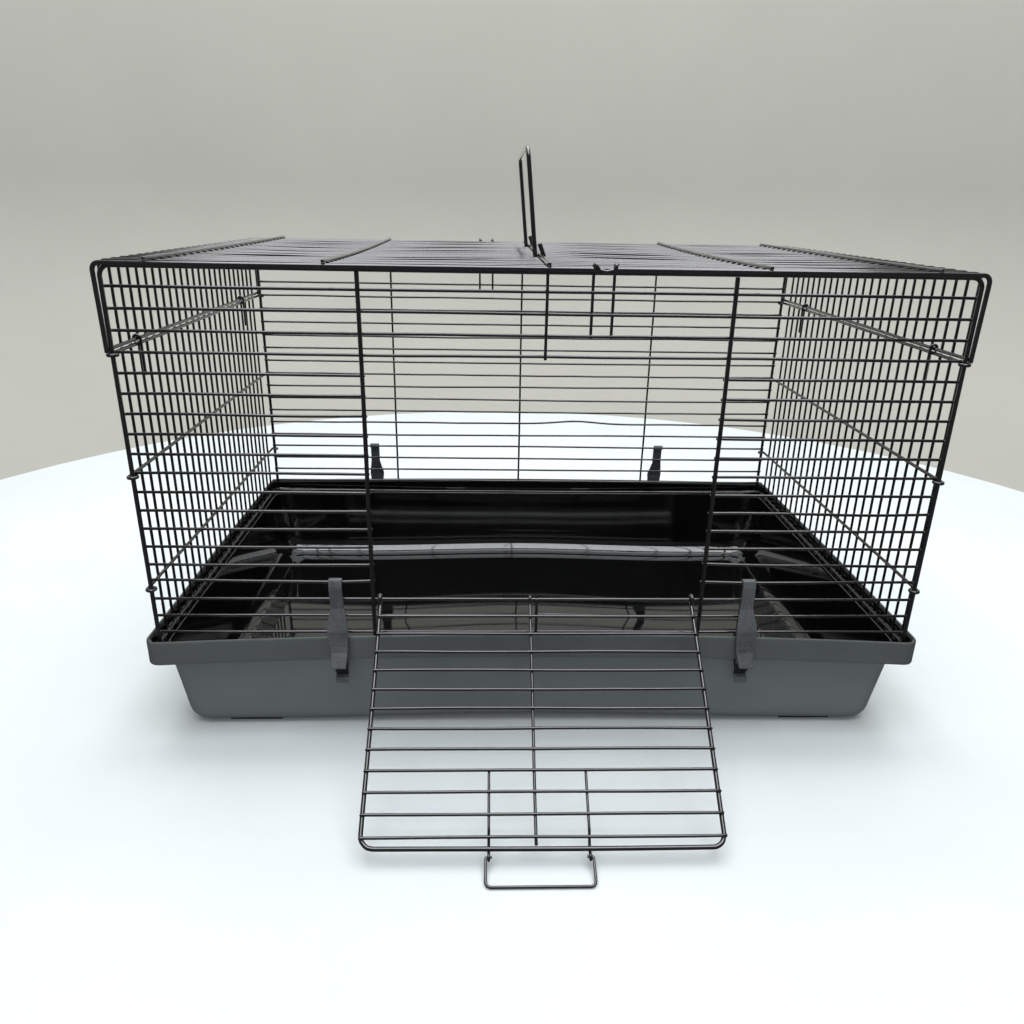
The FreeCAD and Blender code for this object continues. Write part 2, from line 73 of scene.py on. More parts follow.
# ------------------------------------------------------------------ mesh building
class Build:
    """Collects closed shells for one piece."""

    def __init__(self):
        self.v, self.f, self.mat, self.tone, self.n = [], [], [], [], 0

    def add(self, verts, faces, tone=0.5, mat=0):
        verts = np.asarray(verts, float)
        base = self.n
        self.v.append(verts)
        self.f.extend([tuple(i + base for i in f) for f in faces])
        self.mat.extend([mat] * len(faces) if isinstance(mat, int) else mat)
        self.tone.append(np.full(len(verts), tone))
        self.n += len(verts)

    def piece(self, name, body, mats, nodes):
        v = np.concatenate(self.v) * MM
        me = bpy.data.meshes.new(name)
        me.from_pydata([tuple(p) for p in v], [], self.f)
        me.polygons.foreach_set("material_index", np.array(self.mat, np.int32))
        me.polygons.foreach_set("use_smooth", np.ones(len(self.f), bool))
        a = me.attributes.new("tone", "FLOAT", "POINT")
        a.data.foreach_set("value", np.concatenate(self.tone).astype(np.float32))
        for m in mats:
            me.materials.append(m)
        me.validate()
        me.update()
        bm = bmesh.new()
        bm.from_mesh(me)
        bmesh.ops.recalc_face_normals(bm, faces=bm.faces)
        bm.to_mesh(me)
        bm.free()
        o = bpy.data.objects.new(name, me)
        bpy.context.scene.collection.objects.link(o)
        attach(o, body)
        if nodes:
            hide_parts(*nodes)
        return o


def unit(a):
    return a / np.linalg.norm(a)


def frames(path):
    """Tangents and a frame carried along the path without twist."""
    t = np.gradient(path, axis=0)
    t /= np.linalg.norm(t, axis=1)[:, None]
    ref = np.array([0.0, 0.0, 1.0]) if abs(t[0][2]) < 0.9 else np.array([0.0, 1.0, 0.0])
    n = unit(ref - t[0] * (ref @ t[0]))
    ns = [n]
    for i in range(1, len(path)):
        n = n - t[i] * (n @ t[i])
        n = unit(n)
        ns.append(n)
    ns = np.array(ns)
    return t, ns, np.cross(t, ns)


def tube(b, path, r, sides=12, tone=None, ends=(0.5, 0.5), swell=0.0):
    """A wire: round section, ends sheared and softened by the coating."""
    path = np.asarray(path, float)
    tone = rng.random() if tone is None else tone
    t, n, m = frames(path)
    rad = np.full(len(path), r)
    if swell:
        ph = rng.random(3) * 6.28
        s = np.concatenate([[0], np.cumsum(np.linalg.norm(np.diff(path, axis=0), axis=1))])
        rad = r * (1 + swell * (np.sin(s / 9 + ph[0]) + np.sin(s / 23 + ph[1]) + 0.7 * np.sin(s / 4.1 + ph[2])) / 2.7)
    c0, c1 = ends
    pre = [(path[0] + t[0] * r * c0 * (1 - h), q * rad[0]) for h, q in ((1.0, 0.0), (0.98, 0.45), (0.8, 0.8), (0.42, 0.96))]
    post = [(path[-1] - t[-1] * r * c1 * (1 - h), q * rad[-1]) for h, q in ((0.42, 0.96), (0.8, 0.8), (0.98, 0.45), (1.0, 0.0))]
    path = path.copy()
    path[0] += t[0] * r * c0
    path[-1] -= t[-1] * r * c1
    ang = np.arange(sides) * 2 * math.pi / sides
    ca, sa = np.cos(ang)[:, None], np.sin(ang)[:, None]
    rows = []
    for c, q in pre[1:]:
        rows.append(c + q * (n[0] * ca + m[0] * sa))
    for i in range(len(path)):
        rows.append(path[i] + rad[i] * (n[i] * ca + m[i] * sa))
    for c, q in post[:-1]:
        rows.append(c + q * (n[-1] * ca + m[-1] * sa))
    v = np.concatenate(rows + [pre[0][0][None, :], post[-1][0][None, :]])
    k = len(rows)
    f = []
    for i in range(k - 1):
        o, p = i * sides, (i + 1) * sides
        for j in range(sides):
            f.append((o + j, o + (j + 1) % sides, p + (j + 1) % sides, p + j))
    a, z = k * sides, k * sides + 1
    for j in range(sides):
        f.append((a, (j + 1) % sides, j))
        f.append((z, (k - 1) * sides + j, (k - 1) * sides + (j + 1) % sides))
    b.add(v, f, tone)


def bent(pts, bends, step=9.0, fine=9.0):
    """Points along straight runs joined by tangent arcs."""
    P = [np.array(p, float) for p in pts]
    n = len(P)
    bends = bends if isinstance(bends, (list, tuple)) else [bends] * (n - 2)
    out, start = [P[0]], P[0]

    def run(a, c):
        k = max(1, int(np.linalg.norm(c - a) / step))
        for i in range(1, k + 1):
            out.append(a + (c - a) * i / k)

    for i in range(1, n - 1):
        a, c = unit(P[i] - P[i - 1]), unit(P[i + 1] - P[i])
        turn = math.acos(max(-1, min(1, a @ c)))
        if turn < 1e-4:
            continue
        r = bends[i - 1]
        t = r * math.tan(turn / 2)
        s, e = P[i] - a * t, P[i] + c * t
        if np.linalg.norm(s - start) > 0.02:
            run(start, s)
        ctr = P[i] + unit(c - a) * (r / math.cos(turn / 2))
        u = unit(s - ctr)
        w = unit((e - ctr) - u * ((e - ctr) @ u))
        k = max(2, int(math.degrees(turn) / fine))
        for j in range(1, k + 1):
            q = turn * j / k
            out.append(ctr + r * (u * math.cos(q) + w * math.sin(q)))
        start = e
    if np.linalg.norm(P[-1] - start) > 0.02:
        run(start, P[-1])
    return np.array(out)


def arc(c, u, w, rad, a0, a1, step=14.0):
    k = max(2, int(abs(a1 - a0) / step))
    q = np.radians(np.linspace(a0, a1, k + 1))[:, None]
    c, u, w = (np.array(x, float) for x in (c, u, w))
    return c + rad * (u * np.cos(q) + w * np.sin(q))


def wavy(p, q, inplane, outplane, amp=0.3, out=0.05, step=11.0, bow=0.0):
    """A drawn wire is never quite straight: slow bends that fade at its ends."""
    p, q = np.array(p, float), np.array(q, float)
    L = np.linalg.norm(q - p)
    k = max(6, int(L / step))
    t = np.linspace(0, 1, k + 1)
    a = rng.normal(size=4)
    ph = rng.random(4) * 6.283
    w = a[0] * np.sin(math.pi * t) * 0.6 + a[1] * np.sin(2 * math.pi * t) * 0.4
    w += 0.22 * a[2] * np.sin(2 * math.pi * t * L / 170 + ph[2]) + 0.12 * a[3] * np.sin(2 * math.pi * t * L / 71 + ph[3])
    o = np.sin(2 * math.pi * t * L / 210 + ph[0])
    line = p + (q - p) * t[:, None]
    return line + np.outer(w * amp + bow * np.sin(math.pi * t), inplane) + np.outer(o * out, outplane)


BALL = None


def weld(b, c, n, ta, tb, ra, rb, tone):
    """Nugget of a resistance weld with the coating pooled around it."""
    global BALL
    if BALL is None:
        bm = bmesh.new()
        bmesh.ops.create_icosphere(bm, subdivisions=2, radius=1.0)
        BALL = (np.array([v.co[:] for v in bm.verts]), [tuple(v.index for v in f.verts) for f in bm.faces])
        bm.free()
    v, f = BALL
    k = 0.9 + 0.25 * rng.random(3)
    lump = 1 + 0.07 * np.sin(v @ (rng.normal(size=3) * 3.2) + 6.28 * rng.random())
    p = v * lump[:, None]
    M = np.stack([ta * rb * 1.12 * k[0], tb * ra * 1.12 * k[1], n * 0.5 * (ra + rb) * 0.62 * k[2]])
    b.add(c + p @ M, f, tone)


def weld_all(b, A, B, ra, rb, gap=0.35):
    """Welds wherever a wire of A lies on a wire of B."""
    for pa in A:
        for pb in B:
            pa_, pb_ = np.asarray(pa), np.asarray(pb)
            ends = np.concatenate([pa_.min(0) - pb_.max(0), pb_.min(0) - pa_.max(0)])
            if ends.max() > ra + rb + gap:
                continue
            best = None
            a0, a1, b0, b1 = pa_[:-1], pa_[1:], pb_[:-1], pb_[1:]
            ma, mb = (a0 + a1) / 2, (b0 + b1) / 2
            d = np.linalg.norm(ma[:, None] - mb[None], axis=2)
            i, j = np.unravel_index(np.argmin(d), d.shape)
            for ii in range(max(0, i - 1), min(len(a0), i + 2)):
                for jj in range(max(0, j - 1), min(len(b0), j + 2)):
                    u, w = a1[ii] - a0[ii], b1[jj] - b0[jj]
                    r = a0[ii] - b0[jj]
                    aa, bb, cc, dd, ee = u @ u, u @ w, w @ w, u @ r, w @ r
                    den = aa * cc - bb * bb
                    if den < 1e-9:
                        continue
                    s = min(1, max(0, (bb * ee - cc * dd) / den))
                    q = min(1, max(0, (aa * ee - bb * dd) / den))
                    x, y = a0[ii] + u * s, b0[jj] + w * q
                    g = np.linalg.norm(x - y)
                    if best is None or g < best[0]:
                        best = (g, x, y, unit(u), unit(w))
            if best is None or best[0] > ra + rb + gap or best[0] < 1e-6:
                continue
            g, x, y, u, w = best
            n = (y - x) / g
            c = x + n * (ra + (g - ra - rb) / 2)
            weld(b, c, n, u, w, ra, rb, rng.random())


# ------------------------------------------------------------------ materials
def node(nt, kind, **kw):
    x = nt.nodes.new(kind)
    for k, v in kw.items():
        setattr(x, k, v)
    return x


def material(name, dark, light, rough, grain, bump, coat=0.0, coat_rough=0.2, ior=1.5, blotch=14.0, attr=False,
             streak=None, fine=None, fleck=None, spec_tint=None):
    """Procedural finish.  dark/light are the two ends of the colour variation, rough the two ends of the
    roughness, grain the size of the surface texture in 1/m, bump its strength."""
    m = bpy.data.materials.new(name)
    m.use_nodes = True
    nt = m.node_tree
    nt.nodes.clear()
    out = node(nt, "ShaderNodeOutputMaterial")
    bs = node(nt, "ShaderNodeBsdfPrincipled")
    nt.links.new(bs.outputs[0], out.inputs[0])
    tc = node(nt, "ShaderNodeTexCoord")
    co = tc.outputs["Object"]
    n1 = node(nt, "ShaderNodeTexNoise")
    n1.inputs["Scale"].default_value = blotch
    n1.inputs["Detail"].default_value = 6.0
    n1.inputs["Roughness"].default_value = 0.62
    nt.links.new(co, n1.inputs["Vector"])
    fac = n1.outputs["Fac"]
    if attr:
        at = node(nt, "ShaderNodeAttribute", attribute_name="tone")
        mx = node(nt, "ShaderNodeMath", operation="MULTIPLY_ADD")
        mx.inputs[1].default_value = 0.45
        nt.links.new(at.outputs["Fac"], mx.inputs[0])
        sc = node(nt, "ShaderNodeMath", operation="MULTIPLY")
        sc.inputs[1].default_value = 0.55
        nt.links.new(fac, sc.inputs[0])
        nt.links.new(sc.outputs[0], mx.inputs[2])
        fac = mx.outputs[0]
    if streak:
        mp = node(nt, "ShaderNodeMapping")
        mp.inputs["Scale"].default_value = streak
        nt.links.new(co, mp.inputs["Vector"])
        n4 = node(nt, "ShaderNodeTexNoise")
        n4.inputs["Scale"].default_value = 1.0
        n4.inputs["Detail"].default_value = 4.0
        nt.links.new(mp.outputs[0], n4.inputs["Vector"])
        ad = node(nt, "ShaderNodeMix", data_type="FLOAT")
        ad.inputs[0].default_value = 0.5
        nt.links.new(fac, ad.inputs[2])
        nt.links.new(n4.outputs["Fac"], ad.inputs[3])
        fac = ad.outputs[0]
    cr = node(nt, "ShaderNodeValToRGB")
    cr.color_ramp.elements[0].position, cr.color_ramp.elements[1].position = 0.3, 0.72
    cr.color_ramp.elements[0].color = (*dark, 1)
    cr.color_ramp.elements[1].color = (*light, 1)
    nt.links.new(fac, cr.inputs[0])
    col = cr.outputs[0]
    if fleck:
        # fine dust and scuffs, a little lighter than the finish
        n5 = node(nt, "ShaderNodeTexNoise")
        n5.inputs["Scale"].default_value = fleck[0]
        n5.inputs["Detail"].default_value = 8.0
        nt.links.new(co, n5.inputs["Vector"])
        mr = node(nt, "ShaderNodeMapRange")
        mr.inputs["From Min"].default_value, mr.inputs["From Max"].default_value = fleck[1], fleck[1] + 0.12
        mr.inputs["To Max"].default_value = fleck[2]
        nt.links.new(n5.outputs["Fac"], mr.inputs["Value"])
        mc = node(nt, "ShaderNodeMix", data_type="RGBA")
        mc.inputs[7].default_value = (*fleck[3], 1)
        nt.links.new(mr.outputs[0], mc.inputs[0])
        nt.links.new(col, mc.inputs[6])
        col = mc.outputs[2]
    nt.links.new(col, bs.inputs["Base Color"])
    n2 = node(nt, "ShaderNodeTexNoise")
    n2.inputs["Scale"].default_value = blotch * 3.1
    n2.inputs["Detail"].default_value = 5.0
    nt.links.new(co, n2.inputs["Vector"])
    rr = node(nt, "ShaderNodeMapRange")
    rr.inputs["From Min"].default_value, rr.inputs["From Max"].default_value = 0.3, 0.7
    rr.inputs["To Min"].default_value, rr.inputs["To Max"].default_value = rough
    nt.links.new(n2.outputs["Fac"], rr.inputs["Value"])
    nt.links.new(rr.outputs[0], bs.inputs["Roughness"])
    n3 = node(nt, "ShaderNodeTexNoise")
    n3.inputs["Scale"].default_value = grain
    n3.inputs["Detail"].default_value = 3.0
    nt.links.new(co, n3.inputs["Vector"])
    bp = node(nt, "ShaderNodeBump")
    bp.inputs["Strength"].default_value = bump
    bp.inputs["Distance"].default_value = 0.0002
    nt.links.new(n3.outputs["Fac"], bp.inputs["Height"])
    last = bp
    if fine:
        n6 = node(nt, "ShaderNodeTexNoise")
        n6.inputs["Scale"].default_value = fine[0]
        n6.inputs["Detail"].default_value = 2.0
        nt.links.new(co, n6.inputs["Vector"])
        b2 = node(nt, "ShaderNodeBump")
        b2.inputs["Strength"].default_value = fine[1]
        b2.inputs["Distance"].default_value = fine[2]
        nt.links.new(n6.outputs["Fac"], b2.inputs["Height"])
        nt.links.new(bp.outputs[0], b2.inputs["Normal"])
        last = b2
    nt.links.new(last.outputs[0], bs.inputs["Normal"])
    bs.inputs["IOR"].default_value = ior
    if spec_tint:
        bs.inputs["Specular Tint"].default_value = (*spec_tint, 1)
    if coat:
        bs.inputs["Coat Weight"].default_value = coat
        bs.inputs["Coat Roughness"].default_value = coat_rough
    return m


WIRE = material("black_coated_wire", (0.003, 0.003, 0.0033), (0.008, 0.0077, 0.0084), (0.13, 0.24), 620, 0.07, ior=1.5,
                coat=1.0, coat_rough=0.09, blotch=70, attr=True, fine=(2600, 0.06, 0.0001),
                fleck=(230, 0.63, 0.30, (0.035, 0.033, 0.034)), spec_tint=(1.0, 0.95, 1.0))
OUTER = material("tray_outer_satin", (0.095, 0.105, 0.107), (0.126, 0.138, 0.141), (0.46, 0.58), 1500, 0.20,
                 blotch=9, streak=(4.0, 4.0, 26.0), fine=(4200, 0.12, 0.0001), fleck=(60, 0.66, 0.22, (0.17, 0.178, 0.178)))
# inside of the tray: the same plastic as the outer wall, its colour set near black as painted shade; the gloss is real
INNER_PAINTED_SHADE = material("tray_inner_gloss_painted_shade", (0.0010, 0.0011, 0.0012), (0.0022, 0.0023, 0.0025), (0.03, 0.065), 34, 0.05, ior=1.85,
                 blotch=7, fine=(1800, 0.012, 0.0001), fleck=(180, 0.70, 0.10, (0.03, 0.03, 0.028)))
# rim and the underside of its ledge: the same plastic as the outer wall, coloured darker as painted shade
RIM_PAINTED_SHADE = material("tray_rim_satin_painted_shade", (0.056, 0.061, 0.061), (0.073, 0.080, 0.080), (0.40, 0.52), 1400, 0.16,
               blotch=11, fine=(4200, 0.10, 0.0001), fleck=(70, 0.66, 0.2, (0.14, 0.145, 0.146)))
CLIP = material("clip_moulded", (0.036, 0.040, 0.042), (0.068, 0.074, 0.077), (0.34, 0.5), 900, 0.42,
                blotch=40, fine=(3600, 0.2, 0.0001), fleck=(700, 0.56, 0.45, (0.15, 0.155, 0.158)))
# painted shade: the same clip plastic, coloured near black for the tail and catch that sit in the shadow of the tab
# and rim
CLIP_PAINTED_SHADE = material("clip_painted_shade", (0.006, 0.006, 0.007), (0.012, 0.013, 0.014), (0.55, 0.7), 1100, 0.2, blotch=40)
PAD = material("foot_pad", (0.010, 0.010, 0.011), (0.018, 0.018, 0.019), (0.6, 0.75), 900, 0.3,
               blotch=60, fine=(3000, 0.2, 0.0001))

IN_Z, OUT_Y = np.array([0, 0, 1.0]), np.array([0, 1.0, 0])
AX_X = np.array([1.0, 0, 0])

# ------------------------------------------------------------------ front and back panels


def panel(sign, name):
    y = sign * FRAME_Y
    b = Build()
    path = bent([(-FRAME_X, y, FOOT), (-FRAME_X, y, FRAME_TOP), (FRAME_X, y, FRAME_TOP), (FRAME_X, y, FOOT)], 7.0)
    s = np.linspace(0, 1, len(path))
    path[:, 2] += np.where(path[:, 2] > FRAME_TOP - 1, 0.25 * np.sin(path[:, 0] / 95.0 + sign), 0)
    tube(b, path, R_FRAME, 16, swell=0.012)
    b.piece(name + "_bent_frame", "cage", [WIRE], [name + "_frame_wire"])
    return path


front_frame = panel(-1, "front")
back_frame = panel(1, "back")


def hbar(x0, x1, y, z, amp=0.32, bow=0.0):
    return wavy((x0, y, z), (x1, y, z), IN_Z, OUT_Y, amp, 0.03, bow=bow)


def dip(path, f):
    path = path.copy()
    path[:, 2] += np.array([f(x) for x in path[:, 0]])
    return path


def clip_pull(xc, left, right):
    """The clip draws its wire down, so the wire's ends stay higher."""
    def f(x):
        d = (x - xc)
        return left * min(1, abs(d) / 130) ** 1.2 if d < 0 else right * min(1, abs(d) / 32) ** 1.2
    return f


yf, yb = -GRID_Y, GRID_Y
rows = []
for k in range(15, 19):
    rows.append(hbar(-GRID_X, GRID_X, yf, level(k), 0.45))
for k in range(3, 15):
    L = hbar(-GRID_X, -JAMB_X + 1.6, yf, level(k), 0.0 if k == 3 else 0.4)
    R = hbar(JAMB_X - 1.6, GRID_X, yf, level(k), 0.0 if k == 3 else 0.4)
    if k == 3:
        L = dip(L, lambda x: 1.5 * min(1, max(0, (-155 - x) / 128)) ** 1.15 + 1.1 * max(0, (x + 155) / 31) ** 1.2)
        R = dip(R, lambda x: 0.9 * max(0, (163 - x) / 39) ** 1.2 + 1.0 * min(1, max(0, (x - 163) / 128)) ** 1.15)
    if k == 4:
        R = dip(R, lambda x: 2.0 * max(0, 1 - (x - 124) / 62) ** 1.6)
    rows += [L, R]
for z in (Z0 - 12.8, level(0), level(1), level(2)):
    rows.append(hbar(-GRID_X, GRID_X, yf, z, 0.0 if z == level(2) else 0.35))
b = Build()
for p in rows:
    tube(b, p, R_WIRE, 12, swell=0.012)
jambs = [wavy((x, -FRAME_Y, FOOT), (x, -FRAME_Y, FRAME_TOP - R_FRAME), AX_X, OUT_Y, 0.3, 0.0) for x in (-JAMB_X, JAMB_X)]
stay_y = -(GRID_Y + 2 * R_WIRE - 0.01)
stays = [wavy((-0.5, stay_y, level(15) - 2.0), (-0.5, stay_y, FRAME_TOP - R_FRAME), AX_X, OUT_Y, 0.12, 0.0),
         wavy((-1.2, stay_y, FOOT), (-1.2, stay_y, level(2) + 1.6), AX_X, OUT_Y, 0.1, 0.0)]
ff = front_frame
weld_all(b, rows, [ff[: len(ff) // 2], ff[len(ff) // 2:]], R_WIRE, R_FRAME)
weld_all(b, rows, jambs, R_WIRE, R_FRAME)
weld_all(b, rows, stays, R_WIRE, R_WIRE)
b.piece("front_row_wires", "cage", [WIRE], ["front_header_grille", "front_left_grille", "front_right_grille", "front_sill_grille"])
b = Build()
for p in jambs:
    tube(b, p, R_FRAME, 14, swell=0.012)
for p in stays:
    tube(b, p, R_WIRE, 12, swell=0.012)
b.piece("front_post_wires", "cage", [WIRE], ["door_jamb_wires", "front_centre_stays"])

back_rows = []
for i, z in enumerate([Z0 - 12.8] + [level(k) for k in range(19)]):
    p = hbar(-GRID_X, GRID_X, yb, z, 0.0 if i == 4 else 0.55)
    if i == 4:
        p = dip(p, lambda x: 0.7 * math.sin(math.pi * min(1, max(0, (x + 174) / 340))) ** 2)
    if i == 6:
        p = dip(p, lambda x: 3.4 * math.exp(-((x - 66) / 30.0) ** 2))
    back_rows.append(p)
b = Build()
for p in back_rows:
    tube(b, p, R_WIRE, 12, swell=0.012)
bstays = [wavy((x, -stay_y, FOOT), (x, -stay_y, FRAME_TOP - R_FRAME), AX_X, OUT_Y, 0.35, 0.0) for x in (-147.5, -2.0, 147.5)]
bf = back_frame
weld_all(b, back_rows, [bf[: len(bf) // 2], bf[len(bf) // 2:]], R_WIRE, R_FRAME)
weld_all(b, back_rows, bstays, R_WIRE, R_WIRE)
b.piece("back_row_wires", "cage", [WIRE], ["back_grille"])
b = Build()
for p in bstays:
    tube(b, p, R_WIRE, 12, swell=0.012)
b.piece("back_post_wires", "cage", [WIRE], ["back_stay_wires"])

# ------------------------------------------------------------------ roof
def sag(x, y):
    """The roof hangs a little between the handle wire and the skirts."""
    return -1.6 * np.sin(math.pi * np.minimum(np.abs(x), 298) / 298) * np.clip(1 - (np.asarray(y) / EDGE_Y) ** 2, 0, 1)


roof_rows = []
for y in ROOF_YS:
    p = bent([(-SIDE_X, y, SKIRT_Z - 1.0), (-SIDE_X, y, ROOF_Z), (SIDE_X, y, ROOF_Z), (SIDE_X, y, SKIRT_Z - 1.0)], 4.5)
    a = rng.normal(size=3)
    top = np.clip((p[:, 2] - (ROOF_Z - 4.5)) / 4.5, 0, 1)
    x = p[:, 0]
    p[:, 1] += 0.35 * (a[0] * np.sin((x + 298) / 597 * math.pi) + 0.5 * a[1] * np.sin(x / 60 + a[2] * 3)) * top
    held = np.array([-298.4, -262, -147.5, 0, 147.5, 262, 298.4])
    span = np.clip(np.searchsorted(held, x) - 1, 0, 5)
    frac = (x - held[span]) / (held[span + 1] - held[span])
    lift = rng.normal(size=6) * 0.42 * np.array([0.1, 0.8, 1, 1, 0.8, 0.1])
    p[:, 2] += (sag(x, y) + np.clip(lift, -0.75, 0.6)[span] * np.sin(math.pi * frac) ** 2) * top
    roof_rows.append(p)
edges = []
for sign, nm in ((-1, "front"), (1, "back")):
    y = sign * EDGE_Y
    p = bent([(-EDGE_X, y, SKIRT_Z - 2.0), (-EDGE_X, y, EDGE_Z), (EDGE_X, y, EDGE_Z), (EDGE_X, y, SKIRT_Z - 2.0)], 4.5)
    leg = abs(p[:, 0]) > EDGE_X - 0.05
    p[:, 0] += np.sign(p[:, 0]) * np.where(leg, 0.25 - 0.85 * np.clip((EDGE_Z - p[:, 2]) / 56, 0, 1), 0)
    p[:, 2] += np.where(p[:, 2] > EDGE_Z - 0.5, 0.2 * np.sin(p[:, 0] / 120.0), 0)
    edges.append(p)
    b = Build()
    tube(b, p, R_FRAME, 16, swell=0.012)
    b.piece("roof_%s_edge" % nm, "cage", [WIRE], ["roof_%s_edge_wire" % nm])
zc = ROOF_Z + R_WIRE + R_CROSS - 0.01
cross = [wavy((x, -EDGE_Y - 1.5, zc), (x, EDGE_Y + 1.5, zc), AX_X, IN_Z, 0.5, 0.0) for x in (-262, -147.5, 147.5, 262)]
for p in cross:
    p[:, 2] += sag(p[:, 0], p[:, 1])
rail = [wavy((0, -EDGE_Y - 1.5, PIVOT_Z), (0, EDGE_Y + 1.5, PIVOT_Z), AX_X, IN_Z, 0.0, 0.0)]
skirts = [wavy((s * SKIRT_X, -SKIRT_END, SKIRT_Z), (s * SKIRT_X, SKIRT_END, SKIRT_Z), IN_Z, AX_X, 0.2, 0.0) for s in (-1, 1)]
b = Build()
for p in roof_rows:
    tube(b, p, R_WIRE, 12, swell=0.012)
weld_all(b, roof_rows, cross, R_WIRE, R_CROSS)
weld_all(b, roof_rows, rail, R_WIRE, R_BAR)
for sk in skirts:
    side = np.sign(sk[0][0])
    weld_all(b, [p[p[:, 0] * side > 290] for p in roof_rows], [sk], R_WIRE, R_CROSS)
b.piece("roof_row_wires", "cage", [WIRE], ["roof_grille", "left_skirt_grille", "right_skirt_grille"])
b = Build()
for p in cross:
    tube(b, p, R_CROSS, 14, swell=0.012)
weld_all(b, cross, edges, R_CROSS, R_FRAME)
b.piece("roof_cross_bars", "cage", [WIRE], ["roof_cross_wires"])
b = Build()
for p in rail:
    tube(b, p, R_BAR, 14, swell=0.0)
weld_all(b, rail, edges, R_BAR, R_FRAME)
b.piece("roof_handle_bar", "cage", [WIRE], ["handle_pivot_wire"])
b = Build()
for p in skirts:
    tube(b, p, R_CROSS, 14, swell=0.012)
weld_all(b, skirts, [e[e[:, 0] < -290] for e in edges] + [e[e[:, 0] > 290] for e in edges], R_CROSS, R_FRAME)
b.piece("roof_skirt_bars", "cage", [WIRE], ["left_skirt_wire", "right_skirt_wire"])


def hairpin(name, node_name, xa, xb, sign, low):
    """Roof latch: springy hairpin folded over the roof edge, its bight dipping in front."""
    x0, x1 = min(xa, xb), max(xa, xb)
    yi = sign * (GRID_Y - 2 * R_WIRE + 0.01)
    top = EDGE_Z + R_FRAME + R_WIRE + 0.9
    yo = sign * (EDGE_Y + 3.2)
    xm = (x0 + x1) / 2
    pts = [(x0, yi, low), (x0, yi, top), (x0 - 0.1, yo - sign * 0.6, top + 0.1), (x0 + 2.4, yo, top - 3.6),
           (xm, yo + sign * 0.1, top - 4.6),
           (x1 - 2.4, yo, top - 3.6), (x1 + 0.1, yo - sign * 0.6, top + 0.1), (x1, yi, top), (x1, yi, low)]
    p = bent(pts, [2.6, 1.7, 1.4, 4.0, 1.4, 1.7, 2.6], step=6, fine=12)
    b = Build()
    tube(b, p, R_WIRE, 12)
    rr = [r for r in (rows if sign < 0 else back_rows) if r[0][2] > low - 3]
    h = len(p) // 2
    weld_all(b, [p[:h], p[h:]], rr, R_WIRE, R_WIRE, gap=0.3)
    b.piece(name, "cage", [WIRE], [node_name])


hairpin("roof_hairpin_front", "front_roof_latch", 30.5, 44.6, -1, level(16) - 2.0)
hairpin("roof_hairpin_back", "back_roof_latch", -35.0, -49.1, 1, level(16) - 6.0)

# ------------------------------------------------------------------ side panels
for sign, nm in ((-1, "left"), (1, "right")):
    ups = [wavy((sign * SIDE_X, y, FOOT), (sign * SIDE_X, y, TOP_RAIL + 0.9), OUT_Y, AX_X, 0.35, 0.0) for y in ROOF_YS]
    rails = []
    for z in (TOP_RAIL, Z0 + 127.4, Z0 + 38.0):
        c1, c2 = (sign * FRAME_X, FRAME_Y, z), (sign * FRAME_X, -FRAME_Y, z)
        rad = CROSS_X - FRAME_X
        e1 = arc(c1, (sign, 0, 0), (0, 1, 0), rad, 0, 285)
        e2 = arc(c2, (sign, 0, 0), (0, -1, 0), rad, 0, 285)
        mid = wavy((sign * CROSS_X, -FRAME_Y, z), (sign * CROSS_X, FRAME_Y, z), IN_Z, AX_X, 0.3, 0.0)
        rails.append((np.concatenate([e2[::-1][:-1], mid, e1[1:]]), mid))
    z = Z0 - 11.5
    low = wavy((sign * CROSS_X, -FRAME_Y + 3.5, z), (sign * CROSS_X, FRAME_Y - 3.5, z), IN_Z, AX_X, 0.2, 0.0)
    rails.append((low, low))
    b = Build()
    for p in ups:
        tube(b, p, R_WIRE, 12, swell=0.012)
    weld_all(b, ups, [m for _, m in rails], R_WIRE, R_CROSS)
    b.piece("side_%s_posts" % nm, "cage", [WIRE], [nm + "_side_grille"])
    b = Build()
    for p, _ in rails:
        tube(b, p, R_CROSS, 12, swell=0.01)
    b.piece("side_%s_rails" % nm, "cage", [WIRE], [nm + "_side_cross_wires"])
    b = Build()
    for y in (-137.0, 122.0):
        c = (sign * SKIRT_X, y, SKIRT_Z)
        rad = R_CROSS + RUN + R_WIRE
        a = arc(c, (-sign, 0, 0), (0, 0, 1), rad, 0, 240, 12)
        low = np.array([(a[0][0], y, zz) for zz in np.linspace(Z0 + 191.0, SKIRT_Z - 1.0, 8)])
        tube(b, np.concatenate([low, a]), R_WIRE, 12)
        weld_all(b, [low], [rails[0][1]], R_WIRE, R_CROSS, gap=0.5)
    b.piece("side_%s_hooks" % nm, "cage", [WIRE], [nm + "_side_hooks"])

# ------------------------------------------------------------------ door


def door_pt(x, s, n):
    y = HINGE_Y - s * math.sin(DOOR_OPEN) + n * math.cos(DOOR_OPEN)
    z = HINGE_Z + s * math.cos(DOOR_OPEN) + n * math.sin(DOOR_OPEN)
    return np.array([x, y, z])


def door_path(pts):
    return np.array([door_pt(*p) for p in pts])


EYE_R = R_WIRE + RUN + R_FRAME
CX, HALF, END = -1.0, 120.7, 179.5
DS = door_pt(0, 1, 0) - door_pt(0, 0, 0)
DN = door_pt(0, 0, 1) - door_pt(0, 0, 0)


def eye(x, rad):
    """Ring around the hinge wire, in door coordinates, from the free end to the shank."""
    q = np.radians(np.linspace(300, 0, 22))
    return [(x, -rad * math.sin(a), -rad * math.cos(a)) for a in q]


